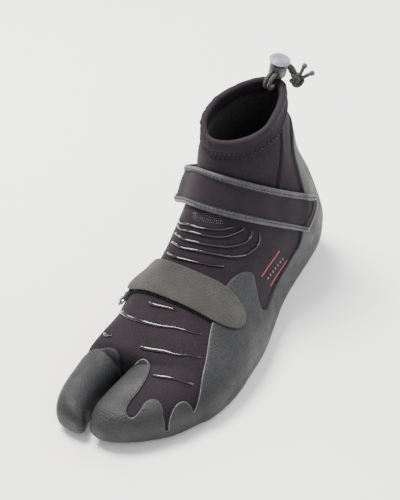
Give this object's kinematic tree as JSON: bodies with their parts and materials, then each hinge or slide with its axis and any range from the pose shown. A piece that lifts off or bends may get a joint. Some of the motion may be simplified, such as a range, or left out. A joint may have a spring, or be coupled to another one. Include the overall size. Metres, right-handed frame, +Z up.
{
  "type": "split-toe surf boot",
  "caption": "Left neoprene surf boot with a split toe, rubber sole and rand, webbing forefoot strap, ankle strap and drawcord collar.",
  "frame": {"origin": "middle of the boot's box on the floor, without the free drawcord", "axes": "+Z up, toes towards -Y, heel towards +Y, little toe towards +X"},
  "size_m": [0.1062, 0.2726, 0.1785],
  "materials": {
    "sole_rubber": "moulded rubber with a fine tread",
    "insole_foam": "thin fabric-faced foam",
    "neoprene": "neoprene with smooth nylon jersey",
    "rand_rubber": "rubber with a fine embossed weave",
    "hem_neoprene": "folded neoprene, zigzag stitched",
    "tab_neoprene": "neoprene panel",
    "strap_neoprene": "laminated strap with grey binding",
    "hook_loop": "hook-and-loop pile",
    "webbing": "woven webbing",
    "ring_metal": "polished metal",
    "rib_rubber": "glossy raised ribs",
    "lock_plastic": "moulded plastic",
    "cord": "braided elastic cord"
  },
  "bodies": {
    "boot": {"outsole": "sole_rubber", "insole": "insole_foam", "upper": "neoprene", "rand": "rand_rubber", "collar_hem": "hem_neoprene", "back_tab": "tab_neoprene", "ankle_strap": "strap_neoprene", "loop_layer": "hook_loop", "forefoot_strap": "webbing", "strap_ring": "ring_metal", "forefoot_rib_1": "rib_rubber", "forefoot_rib_2": "rib_rubber", "forefoot_rib_3": "rib_rubber", "forefoot_rib_4": "rib_rubber", "medial_rib": "rib_rubber", "instep_rib_1": "rib_rubber", "instep_rib_2": "rib_rubber", "instep_rib_3": "rib_rubber", "instep_rib_4": "rib_rubber", "instep_rib_5": "rib_rubber", "cord_lock_barrel": "lock_plastic", "drawcord_1": "cord", "drawcord_2": "cord", "cord_knot": "cord", "cord_end_1": "cord", "cord_end_2": "cord"},
    "lock_button": {"cord_lock_button": "lock_plastic"}
  },
  "joints": [
    {"name": "lock_button_press", "type": "slide", "parent": "boot", "child": "lock_button", "axis": [0.2028, 0, 0.9792], "range_m": [-0.002, 0], "stiffness_N_per_m": 400, "springref_m": 0.001}
  ]
}
